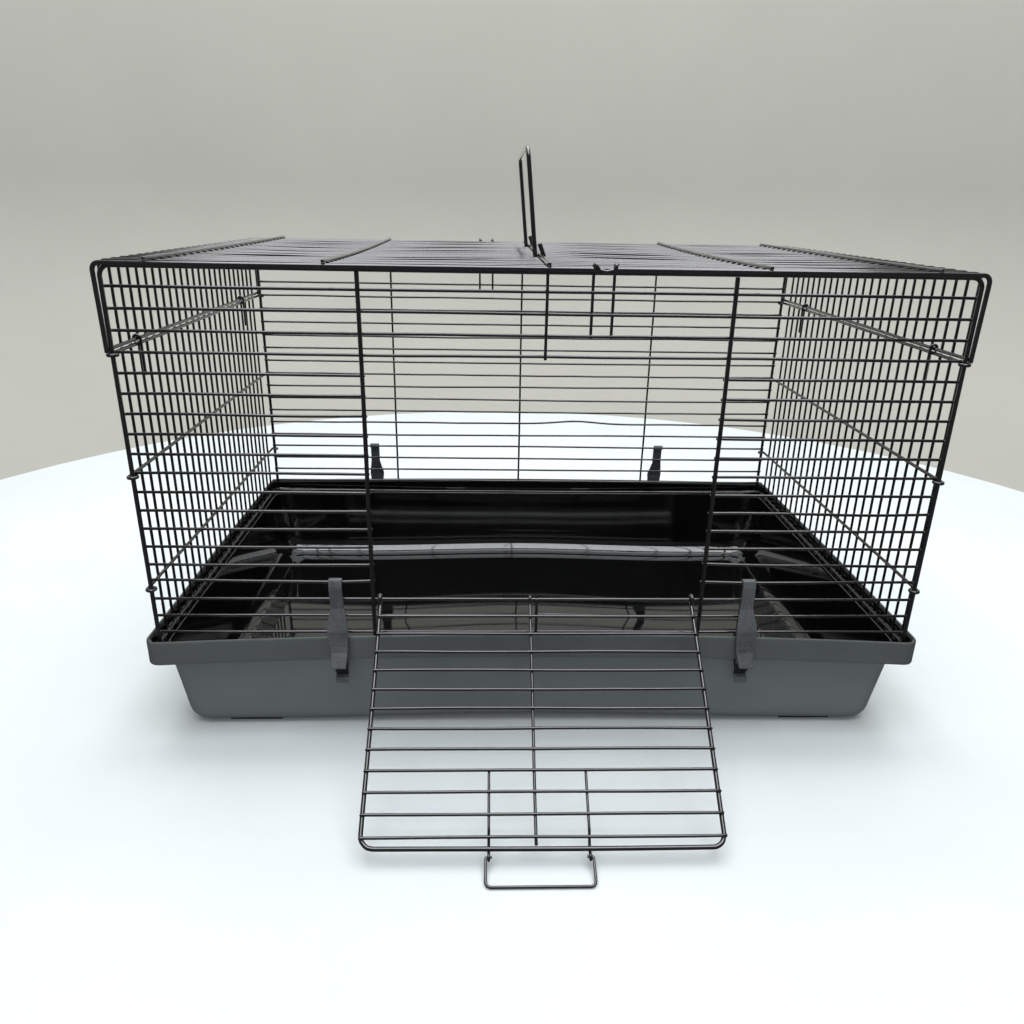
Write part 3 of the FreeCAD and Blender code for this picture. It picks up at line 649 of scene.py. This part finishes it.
xl, xr = CX - HALF, CX + HALF
u = bent([(xl, 0, -EYE_R), (xl, END, -EYE_R), (xr, END, -EYE_R), (xr, 0, -EYE_R)], 9.0)
u[:, 0] += np.where(abs(u[:, 0] - CX) > HALF - 1, 0.3 * np.sin(u[:, 1] / 40.0), 0)
u[:, 1] += np.where(u[:, 1] > END - 0.5, 0.35 * np.sin(u[:, 0] / 55.0 + 1), 0)
surround = door_path(eye(xl, EYE_R)[:-1] + [tuple(p) for p in u] + eye(xr, EYE_R)[::-1][1:])
b = Build()
tube(b, surround, R_FRAME, 16, swell=0.01)
b.piece("door_bent_frame", "door", [WIRE], ["door_frame_wire"])
n_bar = -EYE_R + R_FRAME + R_WIRE - 0.01
bars = []
for k in range(12):
    s = PITCH * (k + 1)
    p0, p1 = door_pt(xl - 1.0, s, n_bar), door_pt(xr + 1.0, s, n_bar)
    bars.append(wavy(p0, p1, DS, DN, 0.34, 0.05))
xc = CX - 5.3
ec = 2 * R_WIRE + RUN
spine = np.concatenate([door_path(eye(xc, ec)), np.array([door_pt(xc + 0.15 * math.sin(s / 30), s, -ec) for s in np.linspace(7, END - R_FRAME, 22)])])
hair = []
LEG, ARM, LCX, LS = 33.4, 36.4, -4.2, 184.6
legs, leg_eyes = [], []
n0 = n_bar - R_WIRE - R_LATCH + 0.01
n1 = -EYE_R - R_FRAME - R_LATCH + 0.01
lr = 2 * R_LATCH + 0.05
for x in (LCX - LEG, LCX + LEG):
    run = bent([(x, PITCH * 9 - 0.8, n0), (x, PITCH * 12 - 3.5, n0), (x, END - 3.2, n1), (x, LS, n1)], [6.0, 4.5], step=7)
    ring = [(x, LS + lr * math.sin(a), n1 + lr - lr * math.cos(a)) for a in np.radians(np.linspace(0, 300, 20))]
    legs.append(door_path([tuple(p) for p in run] + ring[1:]))
    leg_eyes.append(door_pt(x, LS, n1 + lr))
b = Build()
for p in bars:
    tube(b, p, R_WIRE, 12, swell=0.012)
weld_all(b, bars, [surround[22: len(surround) // 2], surround[len(surround) // 2: -22]], R_WIRE, R_FRAME)
weld_all(b, bars, [spine[22:]], R_WIRE, R_WIRE)
weld_all(b, bars, [l[:-18] for l in legs], R_WIRE, R_LATCH)
b.piece("door_row_wires", "door", [WIRE], ["door_grille"])
b = Build()
tube(b, spine, R_WIRE, 12, swell=0.01)
b.piece("door_spine", "door", [WIRE], ["door_centre_wire"])
b = Build()
for p in legs:
    tube(b, p, R_LATCH, 12)
b.piece("door_hairpin_legs", "door", [WIRE], ["door_latch_legs"])
eye_y, eye_z = leg_eyes[0][1], leg_eyes[0][2]
dr = math.radians(19.9)
by, bz = eye_y - 19.3 * math.cos(dr), eye_z - 19.3 * math.sin(dr)
lp = bent([(LCX - LEG + 2.2, eye_y, eye_z), (LCX - ARM + 1.0, eye_y, eye_z), (LCX - ARM + 1.0, by, bz), (LCX + ARM - 1.0, by, bz),
           (LCX + ARM - 1.0, eye_y, eye_z), (LCX + LEG - 2.2, eye_y, eye_z)], [1.3, 3.6, 3.6, 1.3], step=6, fine=12)
b = Build()
tube(b, lp, R_LATCH, 12)
b.piece("door_loop", "door_latch", [WIRE], ["door_latch_loop"])

# ------------------------------------------------------------------ carry handle
LEAN = math.radians(5.5)
rh = R_BAR + RUN + R_HANDLE


def hook(y):
    """Open hook under the roof wire, from its free tip to the leg."""
    tip0 = (0.9 - 0.25, y, 8.4)
    side = (rh * math.cos(math.radians(-12)), y, rh * math.sin(math.radians(-12)))
    pts = [np.array(tip0) + (np.array(side) - np.array(tip0)) * t for t in np.linspace(0, 0.92, 6)]
    ang = np.radians(np.linspace(-14, -180, 15))
    pts += [np.array((rh * math.cos(a), y, rh * math.sin(a))) for a in ang]
    return pts


hy, hh, hr = 79.2, 78.0, 10.0
leg = bent([(-rh, -hy, 2.0), (-rh, -hy, hh), (-rh, hy, hh), (-rh, hy, 2.0)], hr, step=7)
path = np.array(hook(-hy) + list(leg) + hook(hy)[::-1])
path[:, 2] += np.where(path[:, 2] > hh - 0.5, 0.5 * np.cos(path[:, 1] / 80.0 * math.pi / 2) - 0.5, 0)
ca, sa = math.cos(-LEAN), math.sin(-LEAN)
path = np.stack([path[:, 0] * ca + path[:, 2] * sa, path[:, 1], PIVOT_Z - path[:, 0] * sa + path[:, 2] * ca], 1)
b = Build()
tube(b, path, R_HANDLE, 18, swell=0.006, ends=(0.35, 0.35))
b.piece("carry_loop", "handle", [WIRE], ["carry_handle"])


# ------------------------------------------------------------------ tray
def ring(hx, hy_, r, z, nc=10, nx=34, ny=22):
    """Rounded rectangle, always the same number of points."""
    pts = []
    for cx, cy, a0, (dx, dy), n in ((hx - r, -(hy_ - r), -90, (0, 1), ny), (hx - r, hy_ - r, 0, (-1, 0), nx),
                                    (-(hx - r), hy_ - r, 90, (0, -1), ny), (-(hx - r), -(hy_ - r), 180, (1, 0), nx)):
        for i in range(nc + 1):
            a = math.radians(a0 + 90 * i / nc)
            pts.append((cx + r * math.cos(a), cy + r * math.sin(a)))
        L = 2 * (hy_ - r) if dx == 0 else 2 * (hx - r)
        ex, ey = pts[-1]
        for i in range(1, n):
            pts.append((ex + dx * L * i / n, ey + dy * L * i / n))
    return np.array([(x, y, z) for x, y in pts])


def between(a, c, t):
    return tuple(a[i] + (c[i] - a[i]) * t for i in range(4))


prof = []   # (hx, hy, r, z), material of the band that follows
O_BOT, O_TOP = (285.5, 175.9, 18.0, 1.5), (293.96, 184.65, 18.0, 75.4)
I_BOT, I_TOP = (283.3, 173.7, 18.0, 3.7), (292.3, 183.0, 19.0, 77.5)
RX, RY, RR = 301.1, 192.1, 8.8      # inner face of the collar


def add(p, m):
    prof.append((p, m))


def inset(hx, hy_, r, d, z):
    return (hx - d, hy_ - d, min(max(r - d, 3.0), 0.45 * (hy_ - d)), z)


for d in (160.0, 140.0, 110.0, 80.0, 50.0, 28.0, 12.0, 3.0):          # underside
    add(inset(273.5, 163.9, 6.0, d, 1.5), 0)
for a in range(0, 83, 7):                                            # bottom fillet
    t = math.radians(a)
    k = 12 * math.sin(t) + 1.36 * (1 - math.cos(t))
    add((273.5 + k, 163.9 + k, 6.0 + 12 * math.sin(t), 1.5 + 12 * (1 - math.cos(t))), 0)
for t in (0.165, 0.2, 0.3, 0.5, 0.7, 0.85, 0.95, 0.985):
    add(between(O_BOT, O_TOP, t), 0)
add((294.6, 185.3, 18.2, 75.2), 0)
for d, z in ((0.0, 75.3), (0.9, 75.1), (1.1, 74.4), (1.25, 71.2)):   # under the ledge, inside of the skirt
    add((RX - 1.1 + d * 0.88, RY - 1.1 + d * 0.88, RR - 1.1 + d * 0.88, z), 1)
for dx, z in ((0.35, 70.25), (0.75, 70.0), (1.45, 70.0), (2.0, 70.3), (2.2, 70.9)):
    add((RX + dx * 0.98, RY + dx * 0.98, RR + dx * 0.98, z), 1)
for dx, z in ((2.16, 72.5), (2.1, 76.0), (2.1, 80.0), (2.1, 84.0), (2.12, 87.2), (2.05, 88.6)):   # rim face, a touch hollow
    add((RX + dx, RY + dx, RR + dx, z), 1)
for dx, z in ((1.85, 89.35), (1.45, 89.85), (1.0, 90.0), (0.55, 89.9), (0.2, 89.6), (0.03, 89.1)):
    add((RX + dx, RY + dx, RR + dx, z), 1)
for z in (86.5, 82.0, 79.4, 78.3):                                   # inside of the collar
    add((RX, RY, RR, z), 2)
add((RX - 0.4, RY - 0.4, RR - 0.3, 77.7), 2)
add((RX - 1.1, RY - 1.1, RR + 0.3, 77.5), 2)
for t in (0.3, 0.7):
    add((RX - 1.1 - 6.3 * t, RY - 1.1 - 6.6 * t, RR + 0.3 + 9.9 * t, 77.5), 2)
for d, z in ((1.5, 77.5), (0.75, 77.4), (0.3, 77.1), (0.06, 76.5)):  # lip of the basin
    add((292.2 + d, 182.9 + d, 19.0 + d * 0.6, z), 2)
for t in (0.96, 0.85, 0.7, 0.5, 0.36, 0.28, 0.225):
    add(between(I_BOT, I_TOP, t), 2)
for a in range(82, -1, -6):                                          # deep fillet
    t = math.radians(a)
    k = 15.5 * math.sin(t) + 1.85 * (1 - math.cos(t))
    add((267.8 + k, 158.2 + k, 2.5 + k, 3.7 + 15.5 * (1 - math.cos(t))), 2)
for d in (2.0, 6.0, 12.0, 28.0, 50.0, 80.0, 110.0, 136.0, 155.0):    # floor
    add(inset(267.8, 158.2, 2.5, d, 3.7), 2)
rings = [ring(*p) for p, _ in prof]
N = len(rings[0])
verts = np.concatenate(rings)
faces, mats = [], []
for i in range(len(rings) - 1):
    for j in range(N):
        faces.append((i * N + j, i * N + (j + 1) % N, (i + 1) * N + (j + 1) % N, (i + 1) * N + j))
        mats.append(prof[i][1])
faces.append(tuple(range(N))[::-1])
mats.append(0)
faces.append(tuple((len(rings) - 1) * N + j for j in range(N)))
mats.append(2)
# thin mouldings warp: the long sides draw in and lift towards their middle, the rim droops at its corners
tx, ty, tz = verts[:, 0].copy(), np.abs(verts[:, 1]), verts[:, 2].copy()
long_ = np.clip(1 - (tx / 290) ** 2, 0, 1)
draw = np.interp(ty, [100, 160, 184.7, 190.5, 196], [0, 2.2, 2.2, 5.0, 5.0])
verts[:, 1] -= np.sign(verts[:, 1]) * draw * long_
u_ = np.clip((205 - np.abs(tx)) / 205, 0, 1)
low = 4.1 * u_ * u_ * (3 - 2 * u_) * np.clip((76 - tz) / 74, 0, 1) ** 0.8
high = (3.2 - 4.7 * (tx / 295) ** 2) * (0.35 + 0.65 * np.clip(ty / 190, 0, 1))
collar = (ty > 190.9 - draw * 0) | (np.abs(tx) > 300.4)
collar = collar & ((tz < 74.9) | (tz > 78.9))
verts[:, 2] += np.where(collar & (np.maximum(np.abs(tx) - 300.4, ty - 190.9) > 0), high, np.where(tz < 75.0, low, 0))
b = Build()
b.add(verts, faces, 0.5, mats)


def rounded_block(b, lo, hi, bevel, mat, segs=2, taper=None):
    bm = bmesh.new()
    bmesh.ops.create_cube(bm, size=1.0)
    for v in bm.verts:
        v.co = Vector([lo[i] if v.co[i] < 0 else hi[i] for i in range(3)])
    if taper:
        for v in bm.verts:
            taper(v)
    bmesh.ops.bevel(bm, geom=list(bm.edges), offset=bevel, segments=segs, affect="EDGES", profile=0.7)
    bm.verts.index_update()
    b.add([v.co[:] for v in bm.verts], [tuple(v.index for v in f.verts) for f in bm.faces], 0.5, mat)
    bm.free()


for sy in (-1, 1):
    for x in (-78.5, 74.5):
        y0, y1 = sorted((sy * 187.9, sy * 184.4))
        rounded_block(b, (x - 11.5, y0, 77.3), (x + 11.5, y1, 82.1), 0.5, 2)
tray = b.piece("tray_shell", "cage", [OUTER, RIM_PAINTED_SHADE, INNER_PAINTED_SHADE], ["tray"])
wn = tray.modifiers.new("even_shading", "WEIGHTED_NORMAL")
wn.weight = 60
b = Build()
for sx in (-1, 1):
    for sy in (-1, 1):
        rounded_block(b, (sx * 232 - 21.5, sy * 162.5 - 5, 0.0), (sx * 232 + 21.5, sy * 162.5 + 5, 2.1), 0.5, 0, 3)
pads = b.piece("tray_foot_pads", "cage", [PAD], ["tray_feet"])
pads.modifiers.new("even_shading", "WEIGHTED_NORMAL")


# ------------------------------------------------------------------ clips
def ribbon(b, path, thick, half, mat=0, corner=0.42, tone=0.5):
    """Flat strap along a path in the YZ plane: rounded rectangular section, width along X."""
    P = np.asarray(path, float)
    k = len(P)
    T = np.gradient(P, axis=0)
    T /= np.linalg.norm(T, axis=1)[:, None]
    Nn = np.stack([-T[:, 1], T[:, 0]], 1)
    rows_ = []
    for i in range(k):
        w, t = half[i], thick[i] / 2
        c = min(corner, t * 0.8, w * 0.8)
        sec = []
        for sx, sn, a0 in ((1, 1, 0), (-1, 1, 90), (-1, -1, 180), (1, -1, 270)):
            for a in (0, 30, 60, 90):
                q = math.radians(a0 + a)
                sec.append((sx * (w - c) + c * math.cos(q), sn * (t - c) + c * math.sin(q)))
        rows_.append([(sx, P[i][0] + Nn[i][0] * sn, P[i][1] + Nn[i][1] * sn) for sx, sn in sec])
    m = len(rows_[0])

    def shrink(row, centre, f, push):
        return [(centre[0] + (x - centre[0]) * f, centre[1] + (y - centre[1]) * f + push[0], centre[2] + (z - centre[2]) * f + push[1]) for x, y, z in row]

    first = shrink(rows_[0], (0, P[0][0], P[0][1]), 0.9, -T[0] * 0.28)
    last = shrink(rows_[-1], (0, P[-1][0], P[-1][1]), 0.9, T[-1] * 0.28)
    rows_ = [first] + rows_ + [last]
    v = np.array([p for row in rows_ for p in row])
    f = []
    for i in range(len(rows_) - 1):
        for j in range(m):
            f.append((i * m + j, i * m + (j + 1) % m, (i + 1) * m + (j + 1) % m, (i + 1) * m + j))
    f.append(tuple(range(m))[::-1])
    f.append(tuple((len(rows_) - 1) * m + j for j in range(m)))
    return v, f


def soft_path(pts, radii, step=1.4):
    P = bent([(0, y, z) for y, z in pts], radii, step=step, fine=10)
    return P[:, 1:]


def half_at(z):
    zs = [-46, -24, -22.5, -10.5, 6.5, 24, 50]
    ws = [4.7, 4.7, 5.2, 6.7, 8.2, 5.0, 5.0]
    return float(np.interp(z, zs, ws))


def clip(name, node_name, body, x, sign, tilt=0.0):
    cy, cz = GRID_Y, PITCH * 3
    b = Build()
    shells = []
    # hook over the wire, then the strap down to the tail
    hook_ = arc((0, cy, cz), (0, -1, 0), (0, 0, 1), 2.14, -28, 150, 12)[:, 1:]
    down = soft_path([(cy + 2.9, cz + 0.9), (185.7, cz - 3.0), (185.7, 22.4), (193.9, 6.4), (194.4, -20.5)],
                     [2.0, 2.4, 1.1])
    path = np.concatenate([hook_, down[2:]])
    thick = np.interp(np.arange(len(path)), [0, len(hook_) * 0.5, len(hook_) + 3, len(path)], [1.3, 1.9, 2.1, 2.1])
    half = [half_at(z) if z < cz - 6 else 5.0 for _, z in path]
    shells.append(ribbon(b, path, thick, half) + (0,))
    # tail behind the tab, set back under the rim, coloured near black as painted shade
    tail = soft_path([(193.4, -18.5), (191.2, -24.0), (191.0, -34.5)], [4.0], 1.2)
    shells.append(ribbon(b, tail, [2.0] * len(tail), [4.7] * len(tail)) + (1,))
    # finger tab flaring away from the rim
    tab = soft_path([(194.6, -7.0), (195.4, -11.0), (202.9, -20.6)], [2.2], 1.0)
    shells.append(ribbon(b, tab, [1.7] * len(tab), [half_at(z) - 0.05 for _, z in tab]) + (0,))
    # catch under the rim, coloured near black as painted shade
    nose = [(194.3, -21.3), (188.0, -21.3), (187.5, -22.8), (191.5, -28.2), (194.3, -28.8)]
    bm = bmesh.new()
    for s in (-1, 1):
        ring_ = [bm.verts.new((s * 4.9, y, z)) for y, z in nose]
        bm.faces.new(ring_ if s > 0 else ring_[::-1])
    bm.verts.ensure_lookup_table()
    n = len(nose)
    for i in range(n):
        bm.faces.new((bm.verts[i], bm.verts[(i + 1) % n], bm.verts[n + (i + 1) % n], bm.verts[n + i]))
    bmesh.ops.recalc_face_normals(bm, faces=bm.faces)
    bmesh.ops.bevel(bm, geom=list(bm.edges), offset=0.35, segments=2, affect="EDGES", profile=0.7)
    bm.verts.index_update()
    shells.append((np.array([v.co[:] for v in bm.verts]), [tuple(v.index for v in f.verts) for f in bm.faces], 1))
    bm.free()
    # foot of the tail, turned out a little
    foot_ = soft_path([(190.9, -32.6), (193.4, -33.6), (195.6, -33.9), (196.0, -37.3)], [1.6, 0.8], 0.7)
    shells.append(ribbon(b, foot_, [1.5] * len(foot_), [4.9] * len(foot_)) + (0,))
    for v, f, m in shells:
        v = np.array(v, float)
        v[:, 0] += math.radians(tilt) * (cz - v[:, 2])
        v[:, 2] += Z0
        v[:, 0] += x
        v[:, 1] *= sign
        b.add(v, f, rng.random(), m)
    # second material is the painted shade on the tail and catch
    o = b.piece(name, body, [CLIP, CLIP_PAINTED_SHADE], [node_name])
    o.modifiers.new("even_shading", "WEIGHTED_NORMAL")
    return o


clip("clip_part_front_left", "front_left_clip", "clip_front_left", -155.0, -1, 1.9)
clip("clip_part_front_right", "front_right_clip", "clip_front_right", 163.0, -1, -0.5)
clip("clip_part_back_left", "back_left_clip", "clip_back_left", -174.0, 1)
clip("clip_part_back_right", "back_right_clip", "clip_back_right", 166.0, 1)

# ------------------------------------------------------------------ stage: a round pale floor that sweeps up all round
SEG, R_FLAT, R_COVE = 72, 0.9, 0.45
turn_ = [(0.25, 0.0), (0.45, 0.0), (0.7, 0.0), (R_FLAT, 0.0)]
n_flat = len(turn_)
for a in range(6, 91, 6):
    t = math.radians(a)
    turn_.append((R_FLAT + R_COVE * math.sin(t), R_COVE * (1 - math.cos(t))))
turn_ += [(R_FLAT + R_COVE, 0.9), (R_FLAT + R_COVE, 1.4), (R_FLAT + R_COVE, 2.0)]
sv = [(r * math.cos(2 * math.pi * j / SEG), r * math.sin(2 * math.pi * j / SEG), z) for r, z in turn_ for j in range(SEG)]
parts_ = {"floor_sheet": [tuple(range(SEG))], "wall_sheet": [], "front_sheet": []}
for i in range(len(turn_) - 1):
    for j in range(SEG):
        q = (i * SEG + j, (i + 1) * SEG + j, (i + 1) * SEG + (j + 1) % SEG, i * SEG + (j + 1) % SEG)
        parts_["floor_sheet" if i < n_flat - 1 else "wall_sheet" if j < SEG // 2 else "front_sheet"].append(q)
pale = material("pale_floor", (0.535, 0.57, 0.578), (0.58, 0.615, 0.622), (0.62, 0.75), 260, 0.12, blotch=2.5)
plaster = material("plaster_wall", (0.31, 0.304, 0.276), (0.335, 0.329, 0.298), (0.7, 0.85), 90, 0.25, blotch=1.6)
for nm, part in parts_.items():
    used = sorted({i for f in part for i in f})
    at_ = {i: k for k, i in enumerate(used)}
    me = bpy.data.meshes.new(nm)
    me.from_pydata([sv[i] for i in used], [], [tuple(at_[i] for i in f) for f in part])
    me.polygons.foreach_set("use_smooth", np.ones(len(part), bool))
    me.materials.append(pale if nm == "floor_sheet" else plaster)
    sheet = bpy.data.objects.new(nm, me)
    bpy.context.scene.collection.objects.link(sheet)
    sheet.visible_glossy = nm == "wall_sheet"
    if nm == "front_sheet":
        sheet.visible_diffuse = sheet.visible_shadow = sheet.visible_transmission = False


# ------------------------------------------------------------------ light and camera
def area(name, loc, target, size, power, color=(1, 1, 1), size_y=None):
    d = bpy.data.lights.new(name, "AREA")
    d.shape = "RECTANGLE"
    d.size, d.size_y = size, size_y or size
    d.energy = power
    d.color = color
    o = bpy.data.objects.new(name, d)
    bpy.context.scene.collection.objects.link(o)
    o.location = loc
    o.rotation_mode = "QUATERNION"
    o.rotation_quaternion = (Vector(target) - Vector(loc)).to_track_quat("-Z", "Y")
    return o


area("overhead", (0.05, -0.15, 2.1), (0.05, -0.15, 0.1), 2.0, 88, (0.95, 0.975, 1.0), 2.8)
fill = area("front_fill", (-0.3, -2.2, 1.05), (0, 0, 0.1), 2.2, 25, (0.97, 0.99, 1.0))
wash = area("wall_wash", (0.0, 0.45, 1.95), (0, 1.3, 0.5), 2.2, 11, (1.0, 0.99, 0.97), 0.5)
for o in (fill, wash):
    o.visible_glossy = False

w = bpy.data.worlds.new("studio")
bpy.context.scene.world = w
w.use_nodes = True
bg = w.node_tree.nodes.get("Background") or w.node_tree.nodes.new("ShaderNodeBackground")
bg.inputs[0].default_value = (0.84, 0.86, 0.88, 1)
bg.inputs[1].default_value = 0.12

yaw, pitch, roll = (math.radians(v) for v in (1.964, 21.202, 1.026))
fw = Vector((math.sin(yaw) * math.cos(pitch), math.cos(yaw) * math.cos(pitch), -math.sin(pitch)))
rt = Vector((math.cos(yaw), -math.sin(yaw), 0))
up = rt.cross(fw)
r2 = rt * math.cos(roll) + up * math.sin(roll)
u2 = -rt * math.sin(roll) + up * math.cos(roll)
cam_data = bpy.data.cameras.new("camera")
cam_data.sensor_width = 36.0
cam_data.lens = 790.03 / 1024 * 36.0
cam_data.clip_start, cam_data.clip_end = 0.02, 60
cam = bpy.data.objects.new("camera", cam_data)
bpy.context.scene.collection.objects.link(cam)
M = Matrix((r2, u2, -fw)).transposed().to_4x4()
M.translation = Vector((-0.0401, -0.7278, 0.4049))
cam.matrix_world = M
bpy.context.scene.camera = cam
bpy.context.scene.view_settings.view_transform = "Standard"
bpy.context.scene.view_settings.look = "None"
